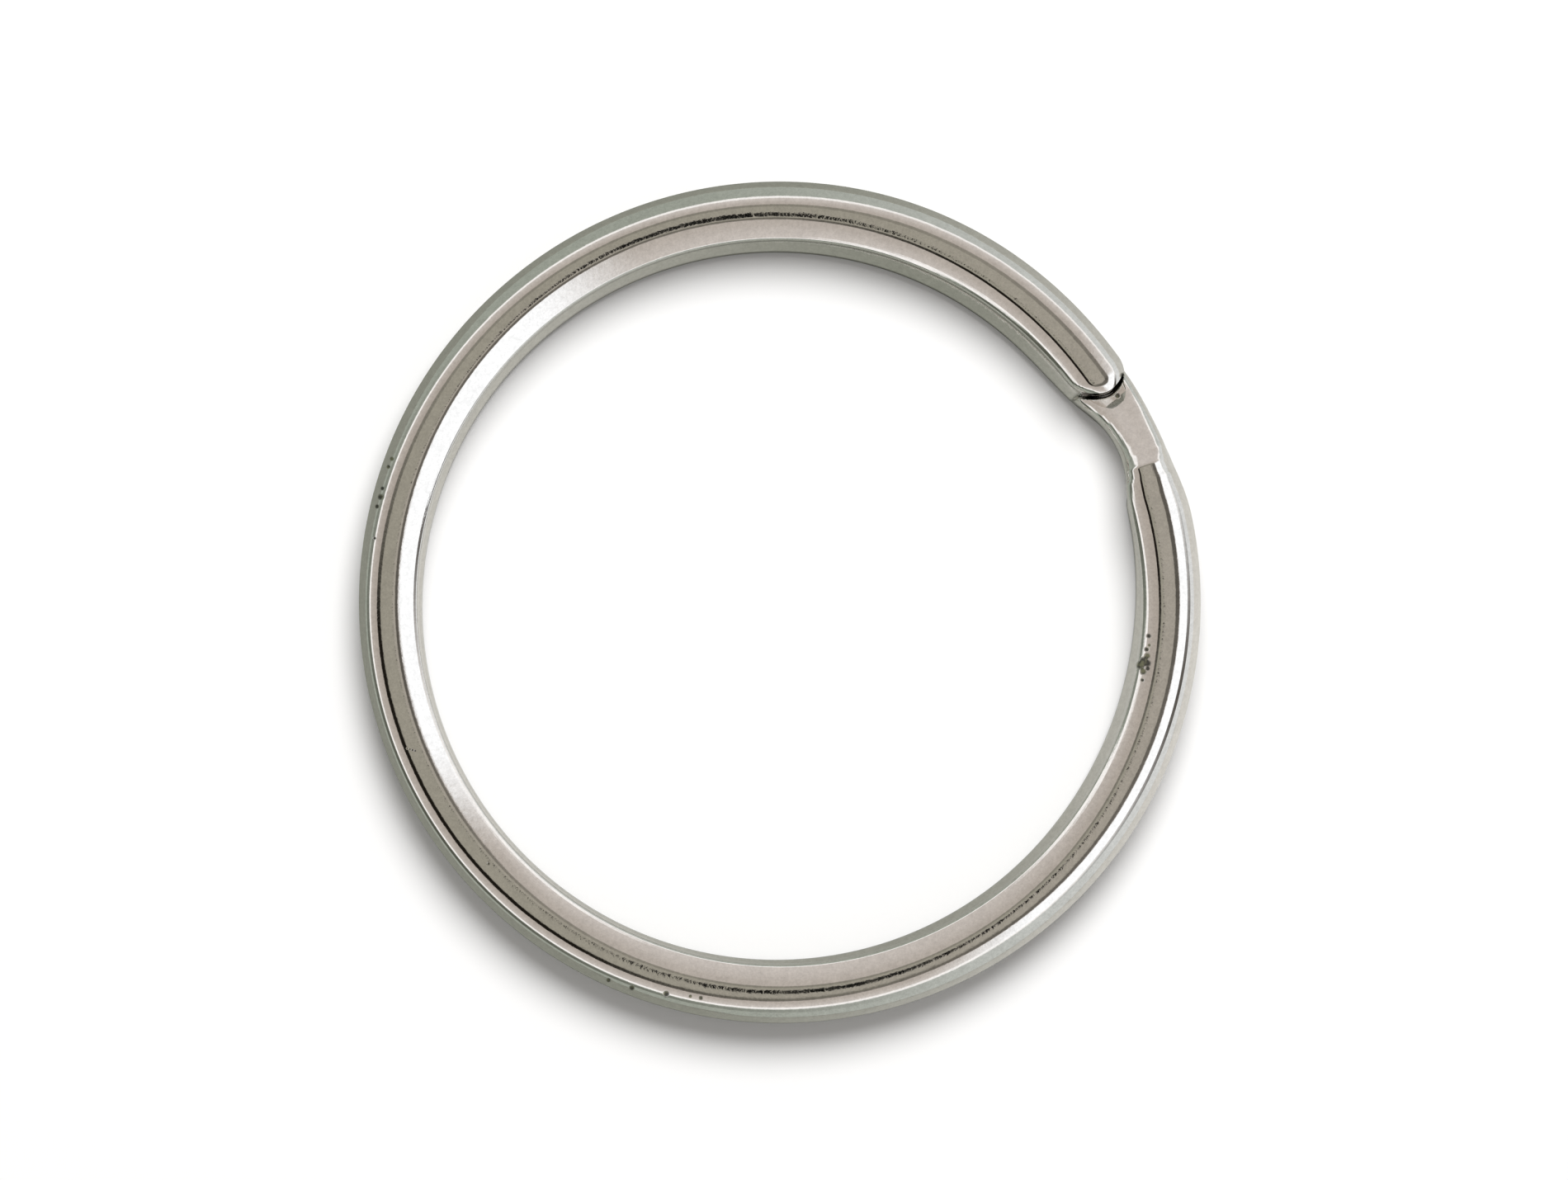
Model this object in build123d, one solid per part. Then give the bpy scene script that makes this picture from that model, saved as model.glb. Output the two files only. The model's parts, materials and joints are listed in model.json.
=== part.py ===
from build123d import *
import math
import os

# Split key ring for 28 mm over the coils, wound from one length of round spring-steel wire and nickel plated.
# The wire makes two close coils. Both coils are pressed between dies, which flattens and widens the wire,
# and the short neck that steps from one coil down to the other keeps the round section of the drawn wire.
# The wire flexes when an end is prised up, so each coil is divided into lengths with a fine cut between them,
# and every cut is a hinge of the finished row.
#
# Millimetres, +Z up, azimuths in degrees from +X towards +Y.
# The origin is the middle of the eye, half-way between the two coils.

os.makedirs("parts", exist_ok=True)

# Wire section. The outward face is a narrow flat with a shoulder each side. The shoulder that faces the eye falls
# gently and ends in a tight edge, the outer one rolls over into a full round.
COIL_WIDTH = 1.96        # width of the wire after pressing, across the band
COIL_HEIGHT = 1.22       # height of one pressed coil
TOP_FLAT_OUT = 0.19      # the narrow flat reaches this far outwards from mid-width
TOP_FLAT_IN = 0.21       # and this far towards the eye
OUTER_SHOULDER = 0.78    # height of the outer shoulder
INNER_SHOULDER = 0.45    # height of the shoulder facing the eye
SHOULDER_SLOPE = 8.0     # angle at which a shoulder leaves the flat
SEAT_CORNER = (0.42, 0.40)   # rounded corner beside the flat face where the coils meet
NECK_HEIGHT = 1.56       # the unpressed wire of the neck
NECK_FLAT = 0.02         # narrowest flat left on a rounded side
ROUND = 0.5523           # length of a curve's handle that makes a quarter of an ellipse

# Coils
UPPER_RADIUS = 13.05     # middle of the upper band
LOWER_RADIUS = 12.83     # middle of the lower band
COIL_OFFSET = 0.18       # the upper coil sits this far off the lower one
OFFSET_AZIMUTH = 45.0    # direction of that offset
COIL_GAP = 0.03          # air between the closed coils
LEVEL = (COIL_GAP + COIL_HEIGHT) / 2

# Where each stretch of wire starts and stops
UPPER_END = 34.2         # free end of the upper coil, at its outer corner
UPPER_END_SKEW = 10.0    # the shear that cropped the wire was this far off square
NECK_START = 13.0        # upper coil runs into the crossover
NECK_END = 44.0          # crossover runs into the lower coil
TAIL_START = 320.0       # the last stretch of the lower coil springs outwards
TAIL_RADIUS = 13.67
LOWER_END = 17.5         # free end of the lower coil
TURN = 360.0

# Lengths and cuts
LENGTHS_PER_COIL = 12
TAIL_LENGTHS = 2
CUT = 0.025              # width of a cut along the wire
END_ROUND = 0.08          # broken edge round each free end

# The crossover: azimuth, middle radius, middle height, width and shape at each station.
# Radii are taken from the upper coil's centre. Shape is 1 pressed as the upper coil, 0 round, -1 as the lower coil.
NECK_STATIONS = (
    (14.6, 13.04, 0.625, 1.96, 1.00),
    (16.5, 12.99, 0.625, 1.99, 1.00),
    (18.2, 13.01, 0.608, 1.90, 0.90),
    (19.6, 13.05, 0.560, 1.72, 0.60),
    (20.8, 13.08, 0.495, 1.56, 0.30),
    (22.2, 13.10, 0.385, 1.49, 0.10),
    (24.0, 13.11, 0.220, 1.47, 0.00),
    (26.0, 13.11, 0.030, 1.48, 0.00),
    (28.0, 13.06, -0.160, 1.58, 0.00),
    (29.8, 13.00, -0.345, 1.74, -0.12),
    (31.2, 12.95, -0.495, 1.90, -0.50),
    (32.2, 12.91, -0.592, 2.00, -0.86),
    (33.2, 12.87, -0.628, 2.05, -1.00),
    (34.2, 12.83, -0.632, 2.07, -1.00),
    (35.4, 12.79, -0.630, 2.06, -1.00),
    (37.0, 12.74, -0.628, 2.02, -1.00),
    (39.0, 12.70, -0.626, 1.98, -1.00),
    (41.5, 12.665, -0.625, 1.96, -1.00),
)


def polar(centre, radius, azimuth, height=0.0):
    """A point at a radius and azimuth from a coil's centre."""
    angle = math.radians(azimuth)
    return Vector(centre.X + radius * math.cos(angle), centre.Y + radius * math.sin(angle), height)


LOWER_CENTRE = Vector(0, 0, 0)
UPPER_CENTRE = polar(LOWER_CENTRE, COIL_OFFSET, OFFSET_AZIMUTH)
TAIL_CENTRE = polar(LOWER_CENTRE, LOWER_RADIUS - TAIL_RADIUS, TAIL_START)


def blend(a, b, share):
    return a + (b - a) * share


def corner(flank, face, slope, reach, drop):
    """One rounded corner of the section, from the flank to the top or bottom face."""
    inward = math.copysign(1, face.X - flank.X)
    upward = math.copysign(1, face.Y - flank.Y)
    angle = math.radians(slope)
    near_flank = flank + Vector(0, upward * drop)
    near_face = face - Vector(inward * reach * math.cos(angle), upward * reach * math.sin(angle))
    return (flank, near_flank, near_face, face)


def wire_section(width, shape):
    """Section of the wire, x outwards and y up, from pressed (1) through round (0) to pressed upside down (-1)."""
    press = abs(shape)
    half = width / 2
    crown_side = math.copysign(1, shape)
    round_side = half - NECK_FLAT
    round_rise = NECK_HEIGHT / 2 - NECK_FLAT
    tall = blend(NECK_HEIGHT, COIL_HEIGHT, press) / 2
    corners = []
    for side, flat, shoulder, reach, drop in ((1, TOP_FLAT_OUT, OUTER_SHOULDER, 0.45, 0.42),
                                              (-1, TOP_FLAT_IN, INNER_SHOULDER, 0.50, 0.13)):
        rise = blend(round_rise, shoulder, press)
        flank = Vector(side * half, crown_side * (tall - rise))
        face = Vector(side * (half - blend(round_side, half - flat, press)), crown_side * tall)
        corners.append(corner(flank, face, SHOULDER_SLOPE * press, blend(ROUND * round_side, reach, press),
                              blend(ROUND * round_rise, drop, press)))
    for side in (1, -1):
        wide = blend(round_side, SEAT_CORNER[0], press)
        rise = blend(round_rise, SEAT_CORNER[1], press)
        flank = Vector(side * half, -crown_side * (tall - rise))
        face = Vector(side * (half - wide), -crown_side * tall)
        corners.append(corner(flank, face, 0, ROUND * wide, ROUND * rise))
    if crown_side < 0:
        corners = corners[2:] + corners[:2]
    upper_right, upper_left, lower_right, lower_left = corners
    edges = [
        Line(lower_right[0], upper_right[0]),
        Bezier(*upper_right),
        Line(upper_right[3], upper_left[3]),
        Bezier(*reversed(upper_left)),
        Line(upper_left[0], lower_left[0]),
        Bezier(*lower_left),
        Line(lower_left[3], lower_right[3]),
        Bezier(*reversed(lower_right)),
    ]
    return Face(Wire([edge.edge() for edge in edges]))


def coil_length(centre, radius, start, stop, shape):
    """A length of pressed wire swept about its coil's centre between two azimuths."""
    level = LEVEL * shape
    section = Plane.XZ * Pos(radius, level) * wire_section(COIL_WIDTH, shape)
    swept = revolve(section, Axis.Z, revolution_arc=stop - start)
    return Pos(centre.X, centre.Y, 0) * Rot(0, 0, start) * swept


def cut_angle(radius):
    """Half a cut, as an angle about the coil's centre."""
    return math.degrees(CUT / 2 / radius)


def middle_lengths(centre, radius, first, last, count, shape):
    """Equal lengths from one azimuth to another, each trimmed by half a cut at both ends."""
    step = (last - first) / count
    trim = cut_angle(radius)
    lengths = []
    for i in range(count):
        start = first + i * step
        lengths.append(coil_length(centre, radius, start + trim, start + step - trim, shape))
    return lengths


def tumble_end(solid, face_centre):
    """Round every edge of the sheared face nearest a point."""
    face = sorted(solid.faces(), key=lambda f: (f.center() - face_centre).length)[0]
    return fillet(face.edges(), END_ROUND)


def upper_free_end(near):
    """The last length of the upper coil, cropped a little off square at its free end."""
    spare = 2.0
    trim = cut_angle(UPPER_RADIUS)
    blank = coil_length(UPPER_CENTRE, UPPER_RADIUS, UPPER_END - spare, near - trim, 1)
    corner = polar(UPPER_CENTRE, UPPER_RADIUS + COIL_WIDTH / 2, UPPER_END)
    facing = math.radians(UPPER_END + 90 - UPPER_END_SKEW)
    shear = Plane(origin=corner, z_dir=(math.cos(facing), math.sin(facing), 0))
    cropped = split(blank, bisect_by=shear, keep=Keep.TOP)
    middle = polar(UPPER_CENTRE, UPPER_RADIUS, UPPER_END + 0.8, LEVEL)
    return tumble_end(cropped, middle)


def upper_coil():
    """Lengths of the upper coil in order from the crossover to the free end."""
    step = (NECK_START + TURN - UPPER_END) / LENGTHS_PER_COIL
    near = UPPER_END + step
    lengths = middle_lengths(UPPER_CENTRE, UPPER_RADIUS, near, NECK_START + TURN, LENGTHS_PER_COIL - 1, 1)
    lengths.reverse()
    lengths.append(upper_free_end(near))
    return lengths


def tail_azimuth():
    """Azimuth of the lower free end as seen from the tail's own centre."""
    reach = polar(LOWER_CENTRE, LOWER_RADIUS + COIL_OFFSET * 2, LOWER_END) - TAIL_CENTRE
    return math.degrees(math.atan2(reach.Y, reach.X)) + TURN


def lower_coil():
    """Lengths of the lower coil in order from the crossover to the free end."""
    count = LENGTHS_PER_COIL - TAIL_LENGTHS
    lengths = middle_lengths(LOWER_CENTRE, LOWER_RADIUS, NECK_END, TAIL_START, count, -1)
    last = tail_azimuth()
    step = (last - TAIL_START) / TAIL_LENGTHS
    lengths += middle_lengths(TAIL_CENTRE, TAIL_RADIUS, TAIL_START, last - step, TAIL_LENGTHS - 1, -1)
    end = coil_length(TAIL_CENTRE, TAIL_RADIUS, last - step + cut_angle(TAIL_RADIUS), last, -1)
    lengths.append(tumble_end(end, polar(TAIL_CENTRE, TAIL_RADIUS, last, -LEVEL)))
    return lengths


def crossover():
    """The neck that steps from the upper coil down to the lower one."""
    trim = cut_angle(UPPER_RADIUS)
    first = polar(UPPER_CENTRE, UPPER_RADIUS, NECK_START + trim, LEVEL)
    last = polar(LOWER_CENTRE, LOWER_RADIUS, NECK_END - trim, -LEVEL)
    spots = [first] + [polar(UPPER_CENTRE, r, a, z) for a, r, z, w, s in NECK_STATIONS] + [last]
    looks = [(COIL_WIDTH, 1.0)] + [(w, s) for a, r, z, w, s in NECK_STATIONS] + [(COIL_WIDTH, -1.0)]
    along = [polar(LOWER_CENTRE, 1, NECK_START + trim + 90)]
    along += [spots[i + 1] - spots[i - 1] for i in range(1, len(spots) - 1)]
    along += [polar(LOWER_CENTRE, 1, NECK_END - trim + 90)]
    sections = []
    for spot, way, (width, shape) in zip(spots, along, looks):
        outward = way.cross(Vector(0, 0, 1)).normalized()
        plane = Plane(origin=spot, x_dir=outward, z_dir=way * -1)
        sections.append(plane * wire_section(width, shape))
    return loft(sections)


def write(name, shape):
    export_step(shape, f"parts/{name}.step")


def name_lengths(coil):
    numbered = [f"{coil}_coil_{i:02d}" for i in range(1, LENGTHS_PER_COIL)]
    return numbered + [f"{coil}_free_end"]


write("crossover", crossover())
for name, length in zip(name_lengths("upper"), upper_coil()):
    write(name, length)
for name, length in zip(name_lengths("lower"), lower_coil()):
    write(name, length)
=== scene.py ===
import json
import math
from functools import partial

import bpy
import numpy as np
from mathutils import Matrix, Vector


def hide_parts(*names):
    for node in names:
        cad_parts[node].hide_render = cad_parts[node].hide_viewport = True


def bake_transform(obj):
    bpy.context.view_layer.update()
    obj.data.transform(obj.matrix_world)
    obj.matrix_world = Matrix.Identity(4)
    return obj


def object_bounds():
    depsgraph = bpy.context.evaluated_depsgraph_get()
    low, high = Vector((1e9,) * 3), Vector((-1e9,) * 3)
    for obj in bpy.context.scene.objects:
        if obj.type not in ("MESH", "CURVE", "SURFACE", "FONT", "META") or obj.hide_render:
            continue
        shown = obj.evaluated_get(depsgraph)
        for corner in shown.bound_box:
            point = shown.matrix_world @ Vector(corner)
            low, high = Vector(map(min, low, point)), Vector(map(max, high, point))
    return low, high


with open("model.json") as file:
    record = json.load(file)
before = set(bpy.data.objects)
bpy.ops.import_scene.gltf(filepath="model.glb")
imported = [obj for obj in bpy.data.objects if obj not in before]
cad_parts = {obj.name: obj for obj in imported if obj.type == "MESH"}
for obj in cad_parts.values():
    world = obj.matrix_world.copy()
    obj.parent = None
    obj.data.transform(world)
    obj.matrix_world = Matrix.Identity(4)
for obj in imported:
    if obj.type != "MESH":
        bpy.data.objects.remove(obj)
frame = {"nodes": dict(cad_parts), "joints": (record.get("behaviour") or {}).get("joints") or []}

# Split key ring, seen from straight above on a white table. Metres, +Z up, the CAD's own frame.
# The ring is one wire, so the looks are one unbroken surface. It is made in stretches that run from the
# middle of one CAD length to the middle of the next.

MM = 0.001                       # millimetres to metres
cad_low, cad_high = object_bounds()
joints = {joint["name"]: joint for joint in frame["joints"]}
LENGTHS = 12                     # CAD lengths, and so hinges, in each coil

# Surface resolution
RING_STEP = 0.11                 # spacing of sections along the coils, in millimetres
NECK_STEP = 0.045                # along the neck
TIP_STEP = 0.03                  # and over this first length of the upper free end
TIP_LENGTH = 0.6
CORNER_POINTS = 12               # points on each rounded corner of a section

# Section of the pressed wire, in millimetres from mid-width, the outer side first and the inner side second
TOP_FLAT = (0.17, 0.18)          # half-widths of the narrow flat on the outward face
FLAT_TILT = 1.7                  # the flat is very slightly crowned
LEAN = 1.2                       # and leans outwards by this many degrees
LEAN_DIP = 1.8                   # except about this azimuth, where it leans this much less
LEAN_DIP_AT = 98
SHOULDER_BREAK = 0.15            # width of the bend between flat and shoulder
SHOULDER_TILT = 10.0             # slope where a shoulder starts
EDGE_TILT = 27.0                 # slope where a shoulder ends and the edge starts to roll over
EDGE_WIDTH = (0.41, 0.08)        # how much of the width each rolled edge takes
OUTER_SEAT_CORNER = (0.34, 0.38)  # rounded corner beside the face where the coils meet
INNER_SEAT_BEVEL = 0.42          # on the inner side the wire is bevelled instead
BEVEL_TILT = (46.0, 57.0)        # slope where the bevel starts and ends
BEVEL_EASE = 0.2                 # slope of the first sliver of bevel, which softens its edge
FLAT_DRIFT = (0.07, 200)         # the flat wanders outwards this far, most at this azimuth
FLAT_SWELL = (0.16, 20)          # and its width varies by this share, widest there and opposite

# Free ends, tumbled round
END_ROUND = 0.46                 # length over which an end is drawn in
END_DEPTH = 0.100                # and how far
END_CURVE = 2.4                  # 1 is a plain chamfer, more is rounder
END_SKEW = 8.5                   # the upper end was cropped this many degrees off square
END_BULGE = 0.56                 # its corners lie this far behind its middle
END_BULGE_CURVE = 1.8            # along a curve of this power
END_FADE = 3.0                   # and that shape dies out over this length of wire
END_REACH = 1.50                 # degrees the rounded tip reaches past the corner of the plain cut

# The neck, in azimuths about the upper coil's axis. Its upper side falls straight from the upper coil's crown
# and ends in a short step down in front of the free end; its under side is the same turned over.
NECK_TOP = ((20.6, 1.0), (31.9, 0.25), (32.4, 0.0))       # share of the fall still to come
NECK_BOTTOM = ((18.5, 0.0), (19.3, 0.25), (30.4, 1.0))    # share of the fall already made
NECK_ROUND_TOP = ((20.4, 0.0), (22.4, 1.0), (32.0, 1.0), (32.4, 0.0))
NECK_ROUND_BOTTOM = ((18.0, 0.0), (20.2, 1.0), (28.6, 1.0), (30.8, 0.0))
NECK_PLAN = (                    # azimuth, middle radius less the upper coil's, width
    (16.0, -0.02, 1.90),
    (18.0, 0.01, 1.76),
    (19.5, 0.04, 1.64),
    (22.0, 0.06, 1.55),
    (24.0, 0.07, 1.52),
    (26.5, 0.05, 1.545),
    (28.5, 0.02, 1.62),
    (30.5, -0.03, 1.735),
    (32.5, -0.10, 1.87),
    (34.5, -0.18, 1.99),
    (37.0, -0.28, 2.02),
    (40.5, -0.375, 1.97),
)
END_TAPER = 0.085                # the upper coil's outer edge draws in this much towards its free end
TAPER_FROM = 45                  # over this many degrees
PATH_SOFTNESS = 2.5              # spread of the smoothing of the path, in rings
NECK_TURNOVER = 26               # azimuth where the crown passes from the upper side to the under side
FOOT_FOLLOWS = (21, 31)          # azimuths over which the neck takes on the outline of the free end
NECK_FULLNESS = (3.8, 2.8)       # exponents of the neck's rounded-off oval section, outside and inside


# ---------------------------------------------------------------- the wire's path, read off the CAD

def hinge(name):
    return np.array(joints[name]["pos_m"]) / MM


def circle(a, b, c):
    """Centre and radius of the circle through three points seen from above."""
    rows = np.array([b - a, c - a])[:, :2]
    centre = np.linalg.solve(2 * rows, (rows * (np.array([b + a, c + a])[:, :2])).sum(1))
    return centre, float(np.linalg.norm(a[:2] - centre))


def azimuth(point, centre):
    return math.degrees(math.atan2(point[1] - centre[1], point[0] - centre[0])) % 360


def node_points(node):
    return np.array([v.co for v in frame["nodes"][node].data.vertices]) / MM


upper_hinges = [hinge(f"upper_flex_{i:02d}") for i in range(1, LENGTHS + 1)]
lower_hinges = [hinge(f"lower_flex_{i:02d}") for i in range(1, LENGTHS + 1)]
upper_centre, upper_radius = circle(upper_hinges[0], upper_hinges[4], upper_hinges[8])
lower_centre, lower_radius = circle(lower_hinges[0], lower_hinges[4], lower_hinges[8])
level = float(upper_hinges[0][2])
sample = node_points("upper_coil_06")
coil_height = float(np.ptp(sample[:, 2]))
high_side = level + coil_height / 2    # top of the upper coil
seat_side = level - coil_height / 2    # and the face that meets the lower coil
coil_width = float(np.ptp(np.linalg.norm(sample[:, :2] - upper_centre, axis=1)))

# The last two lower lengths spring outwards on a wider arc that leaves the coil at the eleventh hinge
tail_from, tail_next = lower_hinges[-2], lower_hinges[-1]
outward = (tail_from[:2] - lower_centre) / lower_radius
reach = tail_next[:2] - tail_from[:2]
tail_radius = float(-(reach @ reach) / (2 * (reach @ outward)))
tail_centre = tail_from[:2] - tail_radius * outward


def end_azimuth(node, centre, last):
    """Azimuth of the free end of a node, as seen from a centre."""
    angles = np.unwrap(np.radians([azimuth(p, centre) for p in node_points(node)]))
    return math.degrees(angles.max() if last else angles.min())


def arc_angles(radius, first, last, step=RING_STEP):
    """Azimuths from first up to last, a step apart along the arc."""
    count = max(2, round(abs(math.radians(last - first)) * radius / step))
    return np.linspace(first, last, count, endpoint=False)


def on_arc(centre, radius, degrees):
    angles = np.radians(degrees)
    return np.stack([centre[0] + radius * np.cos(angles), centre[1] + radius * np.sin(angles)], 1)


def profile(degrees, stations, column=1):
    """A value read off a short list of stations, held steady beyond both ends."""
    stations = np.array(stations)
    return np.interp(degrees, stations[:, 0], stations[:, column])


def smooth(values, spread):
    """Gaussian smoothing along the wire by a number of rings, with the ends carried straight on."""
    reach = max(1, math.ceil(3 * spread))
    kernel = np.exp(-0.5 * (np.arange(-reach, reach + 1) / spread) ** 2)
    kernel /= kernel.sum()
    steps = np.arange(reach, 0, -1)[:, None]
    before = values[0] - steps * (values[1] - values[0])
    after = values[-1] + steps[::-1] * (values[-1] - values[-2])
    padded = np.concatenate([before, values, after])
    return np.stack([np.convolve(padded[:, i], kernel, "valid") for i in range(values.shape[1])], 1)


def wire_path():
    """Plan position and width of the wire at every ring, and where the neck starts and ends."""
    upper_end = end_azimuth("upper_free_end", upper_centre, last=False) - END_REACH
    upper_root = azimuth(upper_hinges[0], upper_centre)
    tail_start = azimuth(tail_from, tail_centre)
    lower_end = end_azimuth("lower_free_end", tail_centre, last=True)
    while lower_end < tail_start:
        lower_end += 360
    tip = upper_end + math.degrees(TIP_LENGTH / upper_radius)
    degrees = np.concatenate([arc_angles(upper_radius, upper_end, tip, TIP_STEP),
                              arc_angles(upper_radius, tip, upper_root + 360)])
    upper = on_arc(upper_centre, upper_radius, degrees)
    taper = np.clip(1 - (degrees - upper_end) / TAPER_FROM, 0, 1)
    taper = END_TAPER * taper ** 2 * (3 - 2 * taper)
    upper -= (upper - upper_centre) / upper_radius * (taper / 2)[:, None]
    lower_root = azimuth(lower_hinges[0], lower_centre)
    degrees = arc_angles(lower_radius, lower_root, azimuth(tail_from, lower_centre))
    lower = on_arc(lower_centre, lower_radius, degrees)
    tail = on_arc(tail_centre, tail_radius, arc_angles(tail_radius, tail_start, lower_end))

    neck_end = azimuth(lower_hinges[0], upper_centre)
    end_shift = float(np.linalg.norm(lower_hinges[0][:2] - upper_centre)) - upper_radius
    plan = ((upper_root, 0.0, coil_width), *NECK_PLAN, (neck_end, end_shift, coil_width))
    degrees = arc_angles(upper_radius, upper_root, neck_end, NECK_STEP)
    neck = on_arc(upper_centre, upper_radius + profile(degrees, plan), degrees)
    rows = np.concatenate([upper, neck, lower, tail])
    widths = np.full(len(rows), coil_width)
    widths[:len(upper)] -= taper
    widths[len(upper):len(upper) + len(neck)] = profile(degrees, plan, 2)
    rows = smooth(np.column_stack([rows, widths]), PATH_SOFTNESS)
    return rows[:, :2], rows[:, 2], len(upper), len(upper) + len(neck)


# -------------------------------------------------------- the section, in shares of half the width and height

def crown_side(flat, edge, lean):
    """Half of the outward face, from the middle of the flat to the flank: distance outwards and fall."""
    break_end = flat + SHOULDER_BREAK
    edge_start = coil_width / 2 - edge
    x = np.unique(np.concatenate([np.linspace(0, flat, 5), np.linspace(flat, break_end, 7),
                                  np.linspace(break_end, edge_start, 9)]))
    tilts = np.interp(x, [0, flat, break_end, edge_start], [lean, FLAT_TILT + lean, SHOULDER_TILT, EDGE_TILT])
    slope = np.tan(np.radians(tilts))
    fall = np.concatenate([[0], np.cumsum((slope[1:] + slope[:-1]) / 2 * np.diff(x))])
    turn = math.radians(EDGE_TILT)
    edge_radius = edge / (1 - math.sin(turn))
    angles = np.linspace(turn, math.pi / 2, CORNER_POINTS)[1:]
    edge_x = edge_start + edge_radius * (np.sin(angles) - math.sin(turn))
    edge_fall = fall[-1] + edge_radius * (math.cos(turn) - np.cos(angles))
    return np.concatenate([x, edge_x]), np.concatenate([fall, edge_fall])


def crown_half():
    """Upper half of the pressed wire, from the outer flank over the flat to the inner flank."""
    half, tall = coil_width / 2, coil_height / 2
    outer_x, outer_fall = crown_side(TOP_FLAT[0], EDGE_WIDTH[0], LEAN)
    inner_x, inner_fall = crown_side(TOP_FLAT[1], EDGE_WIDTH[1], -LEAN)
    x = np.concatenate([[half], outer_x[::-1], -inner_x[1:], [-half]])
    fall = np.concatenate([[tall], outer_fall[::-1], inner_fall[1:], [tall]])
    top = max(tall - fall)
    return np.stack([x / half, (tall - fall) / top], 1)


def seat_half():
    """The half that faces the other coil: rounded corner outside, flat seat, steep bevel inside."""
    half, tall = coil_width / 2, coil_height / 2
    turn = np.linspace(0, math.pi / 2, CORNER_POINTS)
    outer_x = half - OUTER_SEAT_CORNER[0] * (1 - np.cos(turn))
    outer_fall = OUTER_SEAT_CORNER[1] * (1 - np.sin(turn))
    across = np.linspace(0, INNER_SEAT_BEVEL, CORNER_POINTS)
    slope = np.tan(np.radians(np.interp(across, [0, INNER_SEAT_BEVEL], BEVEL_TILT)))
    slope[0] = BEVEL_EASE
    bevel_fall = np.concatenate([[0], np.cumsum((slope[1:] + slope[:-1]) / 2 * np.diff(across))])
    inner_x = -(half - INNER_SEAT_BEVEL + across)
    x = np.concatenate([[half], outer_x, inner_x, [-half]])
    fall = np.concatenate([[tall], outer_fall, bevel_fall, [tall]])
    return np.stack([x / half, 1 - fall / tall], 1)


def round_half():
    turn = np.linspace(0, math.pi, 73)
    x, z = np.cos(turn), np.sin(turn)
    fullness = np.where(x > 0, *NECK_FULLNESS)
    reach = (np.abs(x) ** fullness + z ** fullness) ** (-1 / fullness)
    return np.stack([x * reach, z * reach], 1)


def at_directions(half, angles):
    """A half outline's points in the given directions from its middle."""
    own = np.arctan2(half[:, 1], half[:, 0])
    order = np.argsort(own, kind="stable")
    reach = np.interp(angles, own[order], np.hypot(half[:, 0], half[:, 1])[order])
    return np.stack([reach * np.cos(angles), reach * np.sin(angles)], 1)


halves = [crown_half(), seat_half(), round_half()]
directions = np.concatenate([np.arctan2(half[:, 1], half[:, 0]) for half in halves[:2]])
directions = np.unique(np.round(np.clip(directions, 0, math.pi), 3))
crown, seat, oval = (at_directions(half, directions) for half in halves)


def wandered(half, degrees):
    """The crown with its flat shifted, swollen and leaning as it does at this azimuth."""
    drift = FLAT_DRIFT[0] * math.cos(math.radians(degrees - FLAT_DRIFT[1])) / (coil_width / 2)
    swell = FLAT_SWELL[0] * math.cos(math.radians(2 * (degrees - FLAT_SWELL[1])))
    x, z = half[:, 0], half[:, 1]
    hold = (1 - x ** 2) * np.clip(3 * z - 1, 0, 1)
    less_lean = LEAN_DIP * max(0.0, math.cos(math.radians(degrees - LEAN_DIP_AT))) ** 4
    roll = math.tan(math.radians(less_lean)) * (coil_width / coil_height) * x * hold ** 2
    return np.stack([x + (drift + swell * x) * hold, z + roll], 1)


# ---------------------------------------------------------------- the surface

def end_lag(x):
    """How far behind the tip of the free end its edge lies, at a distance x out from the coil's middle."""
    half = coil_width / 2
    bulge = END_BULGE * np.minimum(1, np.abs(x) / half) ** END_BULGE_CURVE
    return bulge - x * math.tan(math.radians(END_SKEW))


def behind_end(degrees, x):
    """Azimuth less the free end's lag at x, so that the neck's foot runs along the free end's curved edge."""
    share = np.interp(degrees, FOOT_FOLLOWS, (0, 1))
    return degrees - share * np.degrees(end_lag(x) / upper_radius)


def halves_here(degrees, coil, width, shift):
    """Upper and lower half of the section on the upper coil (1), the neck (0) or the lower coil (-1).

    The wire is this wide here and its middle lies shift outside the upper coil's.
    """
    crown_here = wandered(crown, degrees)
    # Where the wire narrows, its sides give way and the flat keeps its width
    crown_here[:, 0] *= 1 + (coil_width / width - 1) * (1 - np.minimum(1, crown_here[:, 0] ** 2)) ** 2
    if coil:
        return (crown_here, seat) if coil > 0 else (seat, crown_here)
    late = behind_end(degrees, oval[:, 0] * width / 2 + shift)
    top_round = profile(late, NECK_ROUND_TOP)[:, None]
    bottom_round = profile(degrees, NECK_ROUND_BOTTOM)
    top, bottom = (crown_here, seat) if degrees < NECK_TURNOVER else (seat, crown_here)
    return top * (1 - top_round) + oval * top_round, bottom * (1 - bottom_round) + oval * bottom_round


def top_side(degrees, coil, x):
    """Height of the upper side of the wire at this azimuth, x out from the upper coil's middle."""
    if coil:
        return high_side if coil > 0 else -seat_side
    return profile(behind_end(degrees, x), NECK_TOP) * (high_side + seat_side) - seat_side


def under_side(degrees, coil):
    if coil:
        return seat_side if coil > 0 else -high_side
    return seat_side - profile(degrees, NECK_BOTTOM) * (high_side + seat_side)


def tumble(outline, middle, from_end):
    """Draws a section in where the wire's end is rounded over."""
    if from_end >= END_ROUND:
        return outline
    inset = END_DEPTH * (1 - from_end / END_ROUND) ** END_CURVE
    reach = outline - middle
    return middle + reach * (1 - inset / np.abs(reach).max(0))


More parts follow.
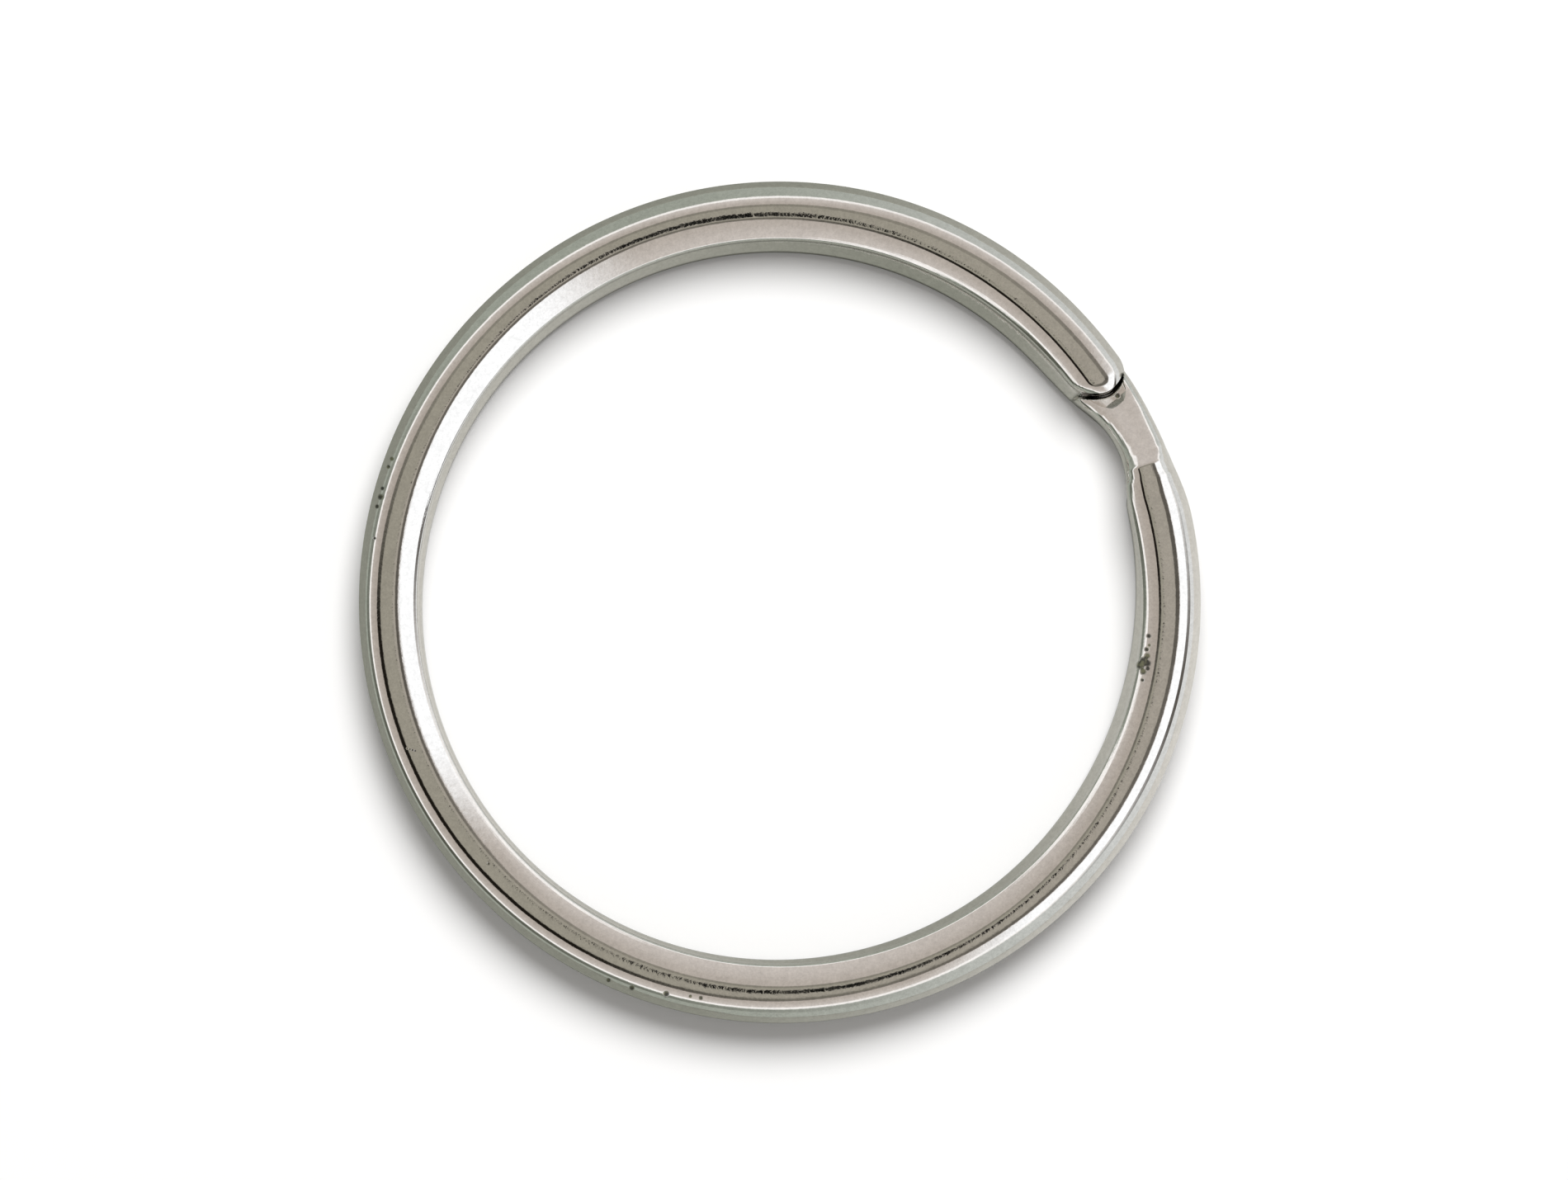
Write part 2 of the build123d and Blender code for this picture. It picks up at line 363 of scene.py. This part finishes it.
def wire_surface():
    """Grid of points: one ring of section points at every step of the path."""
    plan, widths, neck_from, neck_to = wire_path()
    along = np.gradient(plan, axis=0)
    along /= np.linalg.norm(along, axis=1)[:, None]
    outwards = np.stack([along[:, 1], -along[:, 0]], 1)
    distance = np.concatenate([[0], np.cumsum(np.linalg.norm(np.diff(plan, axis=0), axis=1))])
    rings = []
    for i, (spot, width) in enumerate(zip(plan, widths)):
        degrees = azimuth(spot, upper_centre)
        coil = 1 if i < neck_from else (0 if i < neck_to else -1)
        shift = float(np.linalg.norm(spot - upper_centre)) - upper_radius
        upper, under = halves_here(degrees, coil, width, shift)
        top, bottom = top_side(degrees, coil, upper[:, 0] * width / 2 + shift), under_side(degrees, coil)
        split = (np.max(top) + bottom) / 2
        over = np.stack([upper[:, 0] * width / 2, split + upper[:, 1] * (top - split)], 1)
        below = np.stack([under[:, 0] * width / 2, split + under[:, 1] * (bottom - split)], 1)
        outline = np.concatenate([over, below[-2:0:-1]])
        outline = tumble(outline, (0, split), min(distance[i], distance[-1] - distance[i]))
        lag = end_lag(outline[:, 0]) * max(0.0, 1 - distance[i] / END_FADE)
        flat = spot + outline[:, :1] * outwards[i] + lag[:, None] * along[i]
        rings.append(np.column_stack([flat, outline[:, 1]]))
    return np.array(rings) * MM


surface = wire_surface()
rings, around = surface.shape[:2]
normals = np.cross(np.gradient(surface, axis=0), np.roll(surface, -1, 1) - np.roll(surface, 1, 1))
normals /= np.maximum(np.linalg.norm(normals, axis=2), 1e-12)[:, :, None]


def stretch(name, start, stop, material):
    """A closed piece of the wire's surface between two rings, shaded as part of the unbroken whole."""
    points = surface[start:stop + 1]
    count = len(points)
    vertices = [tuple(p) for p in points.reshape(-1, 3)]
    faces = []
    for i in range(count - 1):
        for j in range(around):
            k = (j + 1) % around
            faces.append((i * around + j, (i + 1) * around + j, (i + 1) * around + k, i * around + k))
    sides = len(faces)
    faces.append(tuple(range(around)))
    faces.append(tuple((count - 1) * around + j for j in reversed(range(around))))
    mesh = bpy.data.meshes.new(name)
    mesh.from_pydata(vertices, [], faces)
    mesh.shade_smooth()
    split = np.zeros((len(mesh.loops), 3))
    own = normals[start:stop + 1].reshape(-1, 3)
    side_loops = sides * 4
    corners = np.zeros(len(mesh.loops), np.int32)
    mesh.loops.foreach_get("vertex_index", corners)
    split[:side_loops] = own[corners[:side_loops]]
    for face in list(mesh.polygons)[sides:]:
        for loop in face.loop_indices:
            split[loop] = face.normal
    mesh.normals_split_custom_set([tuple(n) for n in split])
    mesh.materials.append(material)
    piece = bpy.data.objects.new(name, mesh)
    bpy.context.scene.collection.objects.link(piece)
    return piece


# ---------------------------------------------------------------- shader nodes

def linear(*srgb):
    """A colour as seen on screen, 0 to 255, as the linear values shaders use."""
    return tuple((c / 255 / 12.92) if c < 10.3 else ((c / 255 + 0.055) / 1.055) ** 2.4 for c in srgb)


class Sums:
    """Short names for the math nodes of one node tree. Every call returns an output socket."""

    def __init__(self, tree):
        self.tree = tree

    def put(self, socket, value):
        if isinstance(value, bpy.types.NodeSocket):
            self.tree.links.new(value, socket)
        else:
            socket.default_value = value

    def math(self, operation, a, b=0.0, c=0.0):
        node = self.tree.nodes.new("ShaderNodeMath")
        node.operation = operation
        for socket, value in zip(node.inputs, (a, b, c)):
            self.put(socket, value)
        return node.outputs[0]

    def add(self, a, b):
        return self.math("ADD", a, b)

    def less(self, a, b):
        return self.math("SUBTRACT", a, b)

    def times(self, a, b):
        return self.math("MULTIPLY", a, b)

    def square(self, a):
        return self.times(a, a)

    def shade(self, colour, tone):
        """A colour made lighter or darker by a tone around 1."""
        node = self.tree.nodes.new("ShaderNodeCombineColor")
        for socket, part in zip(node.inputs, colour):
            self.put(socket, self.times(tone, part))
        return node.outputs[0]

    def ramp(self, value, start, stop, low=0.0, high=1.0):
        """Smooth step from low at start to high at stop."""
        node = self.tree.nodes.new("ShaderNodeMapRange")
        node.interpolation_type = "SMOOTHSTEP"
        for socket, item in zip(node.inputs, (value, start, stop, low, high)):
            self.put(socket, item)
        return node.outputs[0]

    def band(self, value, low, high, soft):
        """1 between low and high with soft edges, 0 outside."""
        rise = self.ramp(value, low - soft, low + soft)
        fall = self.ramp(value, high - soft, high + soft, 1.0, 0.0)
        return self.times(rise, fall)

    def turned(self, turn, degrees):
        """How far an azimuth in radians is turned away from a direction, either way."""
        away = self.math("WRAP", self.less(turn, math.radians(degrees)), -math.pi, math.pi)
        return self.math("ABSOLUTE", away)

    def facing(self, turn, degrees, soft):
        """1 where an azimuth in radians points to a direction, falling smoothly to 0 soft degrees away."""
        return self.ramp(self.turned(turn, degrees), 0.0, math.radians(soft), 1.0, 0.0)

    def mix(self, share, a, b):
        """Colour a where share is 0, b where it is 1."""
        node = self.tree.nodes.new("ShaderNodeMix")
        node.data_type = "RGBA"
        colours = [item for item in node.inputs if item.type == "RGBA"]
        self.put(node.inputs["Factor"], share)
        for socket, value in zip(colours, (a, b)):
            if not isinstance(value, bpy.types.NodeSocket):
                value = (*value, 1.0)
            self.put(socket, value)
        return [item for item in node.outputs if item.type == "RGBA"][0]

    def noise(self, vector, scale, detail=2.0, rough=0.5):
        node = self.tree.nodes.new("ShaderNodeTexNoise")
        self.put(node.inputs["Vector"], vector)
        node.inputs["Scale"].default_value = scale
        node.inputs["Detail"].default_value = detail
        node.inputs["Roughness"].default_value = rough
        return node.outputs["Fac"]


# ---------------------------------------------------------------- polished nickel

NICKEL = (0.76, 0.73, 0.69)      # reflectance of the plating, slightly warm
# painted shade: the colour that crevices where the coils meet are darkened to
CREVICE_SHADE_COLOUR = (0.05, 0.05, 0.045)
STAIN = ((0.035, 0.035, 0.025), (0.20, 0.20, 0.11))    # dark and pale parts of a corrosion pit
CLOUD_SCALE, MOTTLE_SCALE, GRAIN_SCALE = 900.0, 5200.0, 12000.0    # noise sizes, per metre
CLOUD_TONE, MOTTLE_TONE, GRAIN_TONE = 0.10, 0.26, 0.34    # how much each noise varies the brightness
CLOUD_RELIEF, MOTTLE_RELIEF, GRAIN_RELIEF, PIT_RELIEF = 0.8, 0.35, 0.16, 1.5    # and the relief
RELIEF_DEPTH = 0.005             # in millimetres
SHADE_DEPTH = 0.28                # crevices narrower than about this get painted shade, in millimetres
SHADE_OPEN = (0.36, 0.74)         # share of open sky at which a crevice is in full painted shade, and unshaded
NOTCH_EXTRA = 0.20               # in the notch the painted shade reaches this much further
NOTCH_TOP = (0.3, 0.5)           # and stops between these heights, in millimetres
PIT_TOP = (0.2, 0.3)             # pits are only above these heights
PIT_PLACES = (                   # azimuth, radius from the upper coil's axis and size, both in millimetres
    (159.7, 13.79, 0.060), (160.9, 13.81, 0.055), (164.0, 13.78, 0.055), (165.2, 13.76, 0.085),
    (166.6, 13.80, 0.060), (171.0, 13.68, 0.040), (245.6, 13.83, 0.060), (249.0, 13.76, 0.075),
    (253.8, 13.58, 0.090), (257.2, 13.46, 0.050), (258.7, 13.44, 0.060), (347.9, 12.36, 0.050),
    (349.2, 12.33, 0.090), (350.1, 12.21, 0.125), (350.6, 12.42, 0.100), (350.9, 12.28, 0.115),
    (351.7, 12.38, 0.085), (349.8, 12.46, 0.060), (352.7, 12.33, 0.065), (353.4, 12.40, 0.045),
    (354.8, 12.35, 0.065), (33.5, 13.72, 0.080), (31.45, 13.21, 0.075), (201.4, 13.34, 0.030),
    (201.65, 13.27, 0.030), (201.9, 13.20, 0.030), (202.15, 13.12, 0.030), (221.9, 13.05, 0.040),
)
NOTCH = (33.4, 12.70, 0.45, 1.15)  # where the free end meets the neck: azimuth, radius, and reach of the painted shade


def nearness(sums, place, spot):
    """1 near a spot on the ring: its azimuth, its radius and the distances between which this fades."""
    turn = math.radians(spot[0])
    x, y = ((c + spot[1] * way) * MM for c, way in zip(upper_centre, (math.cos(turn), math.sin(turn))))
    away = sums.add(sums.square(sums.less(place[0], x)), sums.square(sums.less(place[1], y)))
    return sums.ramp(away, (spot[2] * MM) ** 2, (spot[3] * MM) ** 2, 1.0, 0.0)


def pits(sums, place):
    """1 in the few corrosion pits on the upper side, at their places on the ring."""
    total = 0.0
    for degrees, radius, size in PIT_PLACES:
        total = sums.add(total, nearness(sums, place, (degrees, radius, 0.5 * size, 1.5 * size)))
    return sums.times(sums.math("MINIMUM", total, 1.0), sums.ramp(place[2], PIT_TOP[0] * MM, PIT_TOP[1] * MM))


def painted_crevice_shade(tree, sums, place):
    """1 in the painted shade laid in the crevices where the coils meet, most of it low in the notch before
    the free end.
    """
    crevice = tree.nodes.new("ShaderNodeAmbientOcclusion")
    crevice.samples = 8
    crevice.inputs["Distance"].default_value = SHADE_DEPTH * MM
    # painted shade, deepened low in the notch before the free end
    low_down = sums.ramp(place[2], NOTCH_TOP[0] * MM, NOTCH_TOP[1] * MM, 1.0, 0.0)
    notch = sums.times(nearness(sums, place, NOTCH), low_down)
    open_share = sums.less(crevice.outputs["AO"], sums.times(notch, NOTCH_EXTRA))
    return sums.ramp(open_share, *SHADE_OPEN, 1.0, 0.0)


def nickel_plate():
    """Bright nickel over drawn wire: faint mottling, fine grain, a few pits, painted shade where the coils
    meet.
    """
    material = bpy.data.materials.new("nickel_plate")
    material.use_nodes = True
    tree = material.node_tree
    sums = Sums(tree)
    shader = tree.nodes["Principled BSDF"]
    place = tree.nodes.new("ShaderNodeTexCoord").outputs["Object"]
    split = tree.nodes.new("ShaderNodeSeparateXYZ")
    tree.links.new(place, split.inputs[0])
    cloud = sums.noise(place, CLOUD_SCALE, 3.0)
    mottle = sums.noise(place, MOTTLE_SCALE, 2.0, 0.6)
    grain = sums.noise(place, GRAIN_SCALE, 2.0, 0.7)
    pit = pits(sums, split.outputs)
    crevice_shade = painted_crevice_shade(tree, sums, split.outputs)
    tone = 1.0
    for noise, share in ((cloud, CLOUD_TONE), (mottle, MOTTLE_TONE), (grain, GRAIN_TONE)):
        tone = sums.add(tone, sums.times(sums.less(noise, 0.5), share))
    colour = sums.shade(NICKEL, tone)
    # painted shade: crevices darkened by how little open sky they see
    colour = sums.mix(sums.times(crevice_shade, 0.92), colour, CREVICE_SHADE_COLOUR)
    stain = sums.mix(sums.ramp(mottle, 0.42, 0.58), *STAIN)
    colour = sums.mix(sums.times(pit, 0.9), colour, stain)
    tree.links.new(colour, shader.inputs["Base Color"])
    shader.inputs["Metallic"].default_value = 1.0
    rough = sums.add(sums.ramp(cloud, 0.35, 0.75, 0.03, 0.055), sums.times(pit, 0.4))
    tree.links.new(rough, shader.inputs["Roughness"])
    bump = tree.nodes.new("ShaderNodeBump")
    bump.inputs["Distance"].default_value = RELIEF_DEPTH * MM
    bump.inputs["Strength"].default_value = 0.6
    fine = sums.add(sums.times(mottle, MOTTLE_RELIEF), sums.times(grain, GRAIN_RELIEF))
    height = sums.add(sums.times(cloud, CLOUD_RELIEF), fine)
    tree.links.new(sums.less(height, sums.times(pit, PIT_RELIEF)), bump.inputs["Height"])
    tree.links.new(bump.outputs["Normal"], shader.inputs["Normal"])
    return material


# ---------------------------------------------------------------- the pieces

chain = ["upper_free_end"] + [f"upper_coil_{i:02d}" for i in range(LENGTHS - 1, 0, -1)] + ["crossover"]
chain += [f"lower_coil_{i:02d}" for i in range(1, LENGTHS)] + ["lower_free_end"]
hinges = upper_hinges[::-1] + lower_hinges


def hinge_rings():
    """The ring nearest each hinge, in order along the wire."""
    found = []
    for point in hinges:
        after = found[-1] + 1 if found else 0
        window = surface[after:after + rings // 6].mean(1) / MM
        found.append(after + int(np.argmin(np.linalg.norm(window - point, axis=1))))
    return found


at = hinge_rings()
middles = surface.mean(1)
distance = np.concatenate([[0], np.cumsum(np.linalg.norm(np.diff(middles, axis=0), axis=1))])
nickel = nickel_plate()
breaks = [0] + [(a + b) // 2 for a, b in zip(at[:-1], at[1:])] + [rings - 1]
INSET = 0.4 * MM                 # length beside each break, taken off each piece's reach to the nearer break
for i in range(len(hinges)):
    start, stop = breaks[i], breaks[i + 1]
    piece = stretch(f"wire_{i + 1:02d}", start, stop, nickel)
    reach = min(distance[at[i]] - distance[start], distance[stop] - distance[at[i]]) - INSET
    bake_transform(piece)
    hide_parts(chain[i], *([chain[-1]] if i == len(hinges) - 1 else []))


# ---------------------------------------------------------------- the studio

WIDE_VIEW = 52.36 * MM           # width of the table the picture shows
CAMERA_HEIGHT = 0.6
CAMERA_SHIFT = (0.138, 0.413)    # camera stands this far off the upper coil's axis, in millimetres
TABLE_REACH = 0.4
TABLE_COLOUR = (0.86, 0.86, 0.86)
TABLE_PAINTED_REFLECTION = ((0.25, 0.265, 0.235), (0.66, 0.665, 0.65))    # dimmest and brightest of the table's painted reflection in the wire, in its painted shade and painted light
TABLE_SPLIT = (12.6, 13.0)       # distances from the middle where the inner painted light gives way to the outer
AMBIENT = ((1.0, 0.975, 0.95, 1.0), 0.40)
LIGHT_SIZE, LIGHT_POWER, LIGHT_AWAY = 0.30, 2.6, 0.5
LIGHT_AZIMUTH, LIGHT_ELEVATION = 76, 60.5

# Where things stand in the surroundings, as the slope that mirrors them upwards: 0 overhead, 1 the horizon
PANEL_EDGE = (0.135, 0.152)
PANEL_FRAME = (0.068, 0.156)
FRAME_DEPTHS = ((228, 62, 0.85), (5, 60, 0.5), (188, 50, 0.6), (305, 50, 0.4))    # azimuth, half-width, share
LENS_AT, LENS_SIZE = (0.003, -0.0180), (0.0075, 0.0140)
BOX_AZIMUTH, BOX_SPREAD, BOX_SPAN = -14, (34, 56), (0.165, 0.48)
BOX_RIM = (0.452, 0.59)
WALL_RISE, WALL_FOOT = (0.17, 0.44), (0.405, 0.455)
HORIZON, FLOOR_FADE, RAIL = (0.505, 0.545), (0.9, 1.6), (0.55, 0.72)


def seen(*srgb):
    """Brightness of the surroundings that shows as this colour in the polished wire."""
    return tuple(c / n for c, n in zip(linear(*srgb), NICKEL))


def slopes_seen(tree, sums):
    """Each direction as the slope of a surface that mirrors it straight up: its parts, its size, its azimuth.

    The size is 0 for what is overhead and 1 for the horizon.
    """
    split = tree.nodes.new("ShaderNodeSeparateXYZ")
    tree.links.new(tree.nodes.new("ShaderNodeTexCoord").outputs["Generated"], split.inputs[0])
    x, y, z = split.outputs
    lean = sums.add(sums.math("MAXIMUM", z, -0.98), 1.0)
    px, py = sums.math("DIVIDE", x, lean), sums.math("DIVIDE", y, lean)
    slope = sums.math("SQRT", sums.add(sums.times(px, px), sums.times(py, py)))
    return px, py, slope, sums.math("ARCTAN2", py, px)


def walls(sums, slope, facing):
    """Warm grey walls, brightest along their foot, over a dim horizon with a dark rail on the lower left."""
    wall = sums.mix(sums.ramp(slope, *WALL_RISE), seen(176, 167, 158), seen(197, 189, 182))
    wall = sums.mix(sums.times(facing(180, 90), 0.5), wall, seen(160, 150, 139))
    wall = sums.mix(sums.times(sums.ramp(slope, *WALL_FOOT), 0.95), wall, seen(246, 242, 238))
    low = sums.mix(facing(0, 110), seen(150, 154, 143), seen(215, 215, 213))
    low = sums.mix(sums.ramp(slope, *FLOOR_FADE), low, seen(166, 169, 158))
    rail = sums.times(sums.band(slope, *RAIL, 0.02), sums.times(facing(215, 90), 0.9))
    low = sums.mix(rail, low, seen(70, 70, 60))
    return sums.mix(sums.ramp(slope, *HORIZON), wall, low)


def softbox(sums, slope, turn, facing, colour):
    """A wide white softbox on the right with a dark rim under it."""
    box = sums.ramp(sums.turned(turn, BOX_AZIMUTH), *(math.radians(a) for a in BOX_SPREAD), 1.0, 0.0)
    box = sums.times(sums.band(slope, *BOX_SPAN, 0.02), box)
    colour = sums.mix(box, colour, seen(255, 255, 255))
    rim = sums.times(sums.band(slope, *BOX_RIM, 0.012), facing(-13, 40))
    return sums.mix(sums.times(rim, 0.95), colour, seen(72, 66, 59))


def ceiling(sums, px, py, slope, facing, colour):
    """An olive panel overhead in a dark frame of uneven depth, and the small dark lens beside its middle."""
    panel = sums.mix(facing(345, 120), seen(149, 144, 131), seen(160, 153, 142))
    colour = sums.mix(sums.ramp(slope, *PANEL_EDGE, 1.0, 0.0), colour, panel)
    depth = 0.26
    for degrees, soft, share in FRAME_DEPTHS:
        depth = sums.add(sums.times(facing(degrees, soft), share), depth)
    dark = sums.times(sums.band(slope, *PANEL_FRAME, 0.012), sums.math("MINIMUM", depth, 1.0))
    colour = sums.mix(dark, colour, seen(26, 23, 18))
    lens = 0.0
    for part, middle, size in zip((px, py), LENS_AT, LENS_SIZE):
        lens = sums.add(lens, sums.square(sums.math("DIVIDE", sums.less(part, middle), size)))
    return sums.mix(sums.ramp(lens, 0.8, 1.5, 1.0, 0.0), colour, seen(12, 12, 10))


def surroundings():
    """The room: as the wire mirrors it for glossy rays, and as an even light for everything else."""
    world = bpy.data.worlds.new("studio")
    bpy.context.scene.world = world
    world.use_nodes = True
    tree = world.node_tree
    tree.nodes.clear()
    sums = Sums(tree)
    px, py, slope, turn = slopes_seen(tree, sums)
    facing = partial(sums.facing, turn)
    colour = softbox(sums, slope, turn, facing, walls(sums, slope, facing))
    colour = ceiling(sums, px, py, slope, facing, colour)
    mirrored = tree.nodes.new("ShaderNodeBackground")
    tree.links.new(colour, mirrored.inputs["Color"])
    ambient = tree.nodes.new("ShaderNodeBackground")
    for socket, value in zip(ambient.inputs, AMBIENT):
        socket.default_value = value
    choose = tree.nodes.new("ShaderNodeMixShader")
    tree.links.new(tree.nodes.new("ShaderNodeLightPath").outputs["Is Glossy Ray"], choose.inputs[0])
    tree.links.new(ambient.outputs[0], choose.inputs[1])
    tree.links.new(mirrored.outputs[0], choose.inputs[2])
    tree.links.new(choose.outputs[0], tree.nodes.new("ShaderNodeOutputWorld").inputs["Surface"])


def table():
    """White sheet under the ring. For glossy rays it is painted the dim green-grey that surrounds the ring in
    the wire, a painted reflection with painted light and painted shade that vary by azimuth.
    """
    mesh = bpy.data.meshes.new("table")
    corners = [(-1, -1), (1, -1), (1, 1), (-1, 1)]
    corners = [(x * TABLE_REACH, y * TABLE_REACH, cad_low.z) for x, y in corners]
    mesh.from_pydata(corners, [], [(0, 1, 2, 3)])
    sheet = bpy.data.objects.new("table", mesh)
    bpy.context.scene.collection.objects.link(sheet)
    material = bpy.data.materials.new("table")
    material.use_nodes = True
    tree = material.node_tree
    sums = Sums(tree)
    split = tree.nodes.new("ShaderNodeSeparateXYZ")
    tree.links.new(tree.nodes.new("ShaderNodeTexCoord").outputs["Object"], split.inputs[0])
    x, y, _ = split.outputs
    facing = partial(sums.facing, sums.math("ARCTAN2", y, x))
    away = sums.math("SQRT", sums.add(sums.square(x), sums.square(y)))
    outside = sums.ramp(away, TABLE_SPLIT[0] * MM, TABLE_SPLIT[1] * MM)
    # painted light and painted shade on the table as the wire mirrors it, brighter towards these azimuths
    # inside and outside the ring
    inner_painted_light = sums.add(sums.times(facing(192, 125), 0.85), sums.times(facing(350, 75), 0.5))
    outer_painted_light = sums.times(outside, facing(-10, 105))
    light = sums.add(sums.times(sums.less(1.0, outside), inner_painted_light), outer_painted_light)
    dim = sums.mix(light, *TABLE_PAINTED_REFLECTION)
    path = tree.nodes.new("ShaderNodeLightPath")
    # painted reflection: glossy rays see the painted dim colour, the camera sees the white sheet
    colour = sums.mix(path.outputs["Is Glossy Ray"], TABLE_COLOUR, dim)
    tree.links.new(colour, tree.nodes["Principled BSDF"].inputs["Base Color"])
    tree.nodes["Principled BSDF"].inputs["Roughness"].default_value = 0.9
    tree.nodes["Principled BSDF"].inputs["Specular IOR Level"].default_value = 0.0
    mesh.materials.append(material)


def aim(thing, place, target):
    thing.location = place
    thing.rotation_mode = "QUATERNION"
    thing.rotation_quaternion = (Vector(target) - Vector(place)).to_track_quat("-Z", "Y")
    bpy.context.scene.collection.objects.link(thing)


def key_light():
    """One soft light from the upper right, which throws the shadow to the lower left."""
    data = bpy.data.lights.new("key", "AREA")
    data.shape = "DISK"
    data.size = LIGHT_SIZE
    data.energy = LIGHT_POWER
    light = bpy.data.objects.new("key", data)
    turn, height = math.radians(LIGHT_AZIMUTH), math.radians(LIGHT_ELEVATION)
    level_way = LIGHT_AWAY * math.cos(height)
    place = (level_way * math.cos(turn), level_way * math.sin(turn), LIGHT_AWAY * math.sin(height))
    aim(light, place, (0, 0, 0))
    light.visible_glossy = False
    light.visible_camera = False


def camera():
    data = bpy.data.cameras.new("camera")
    data.lens = data.sensor_width * (CAMERA_HEIGHT / WIDE_VIEW)
    data.clip_start, data.clip_end = 0.01, 5
    view = bpy.data.objects.new("camera", data)
    place = [(c + s) * MM for c, s in zip(upper_centre, CAMERA_SHIFT)]
    aim(view, (*place, CAMERA_HEIGHT), (*place, 0))
    bpy.context.scene.camera = view


surroundings()
table()
key_light()
camera()
bpy.context.scene.view_settings.view_transform = "Standard"
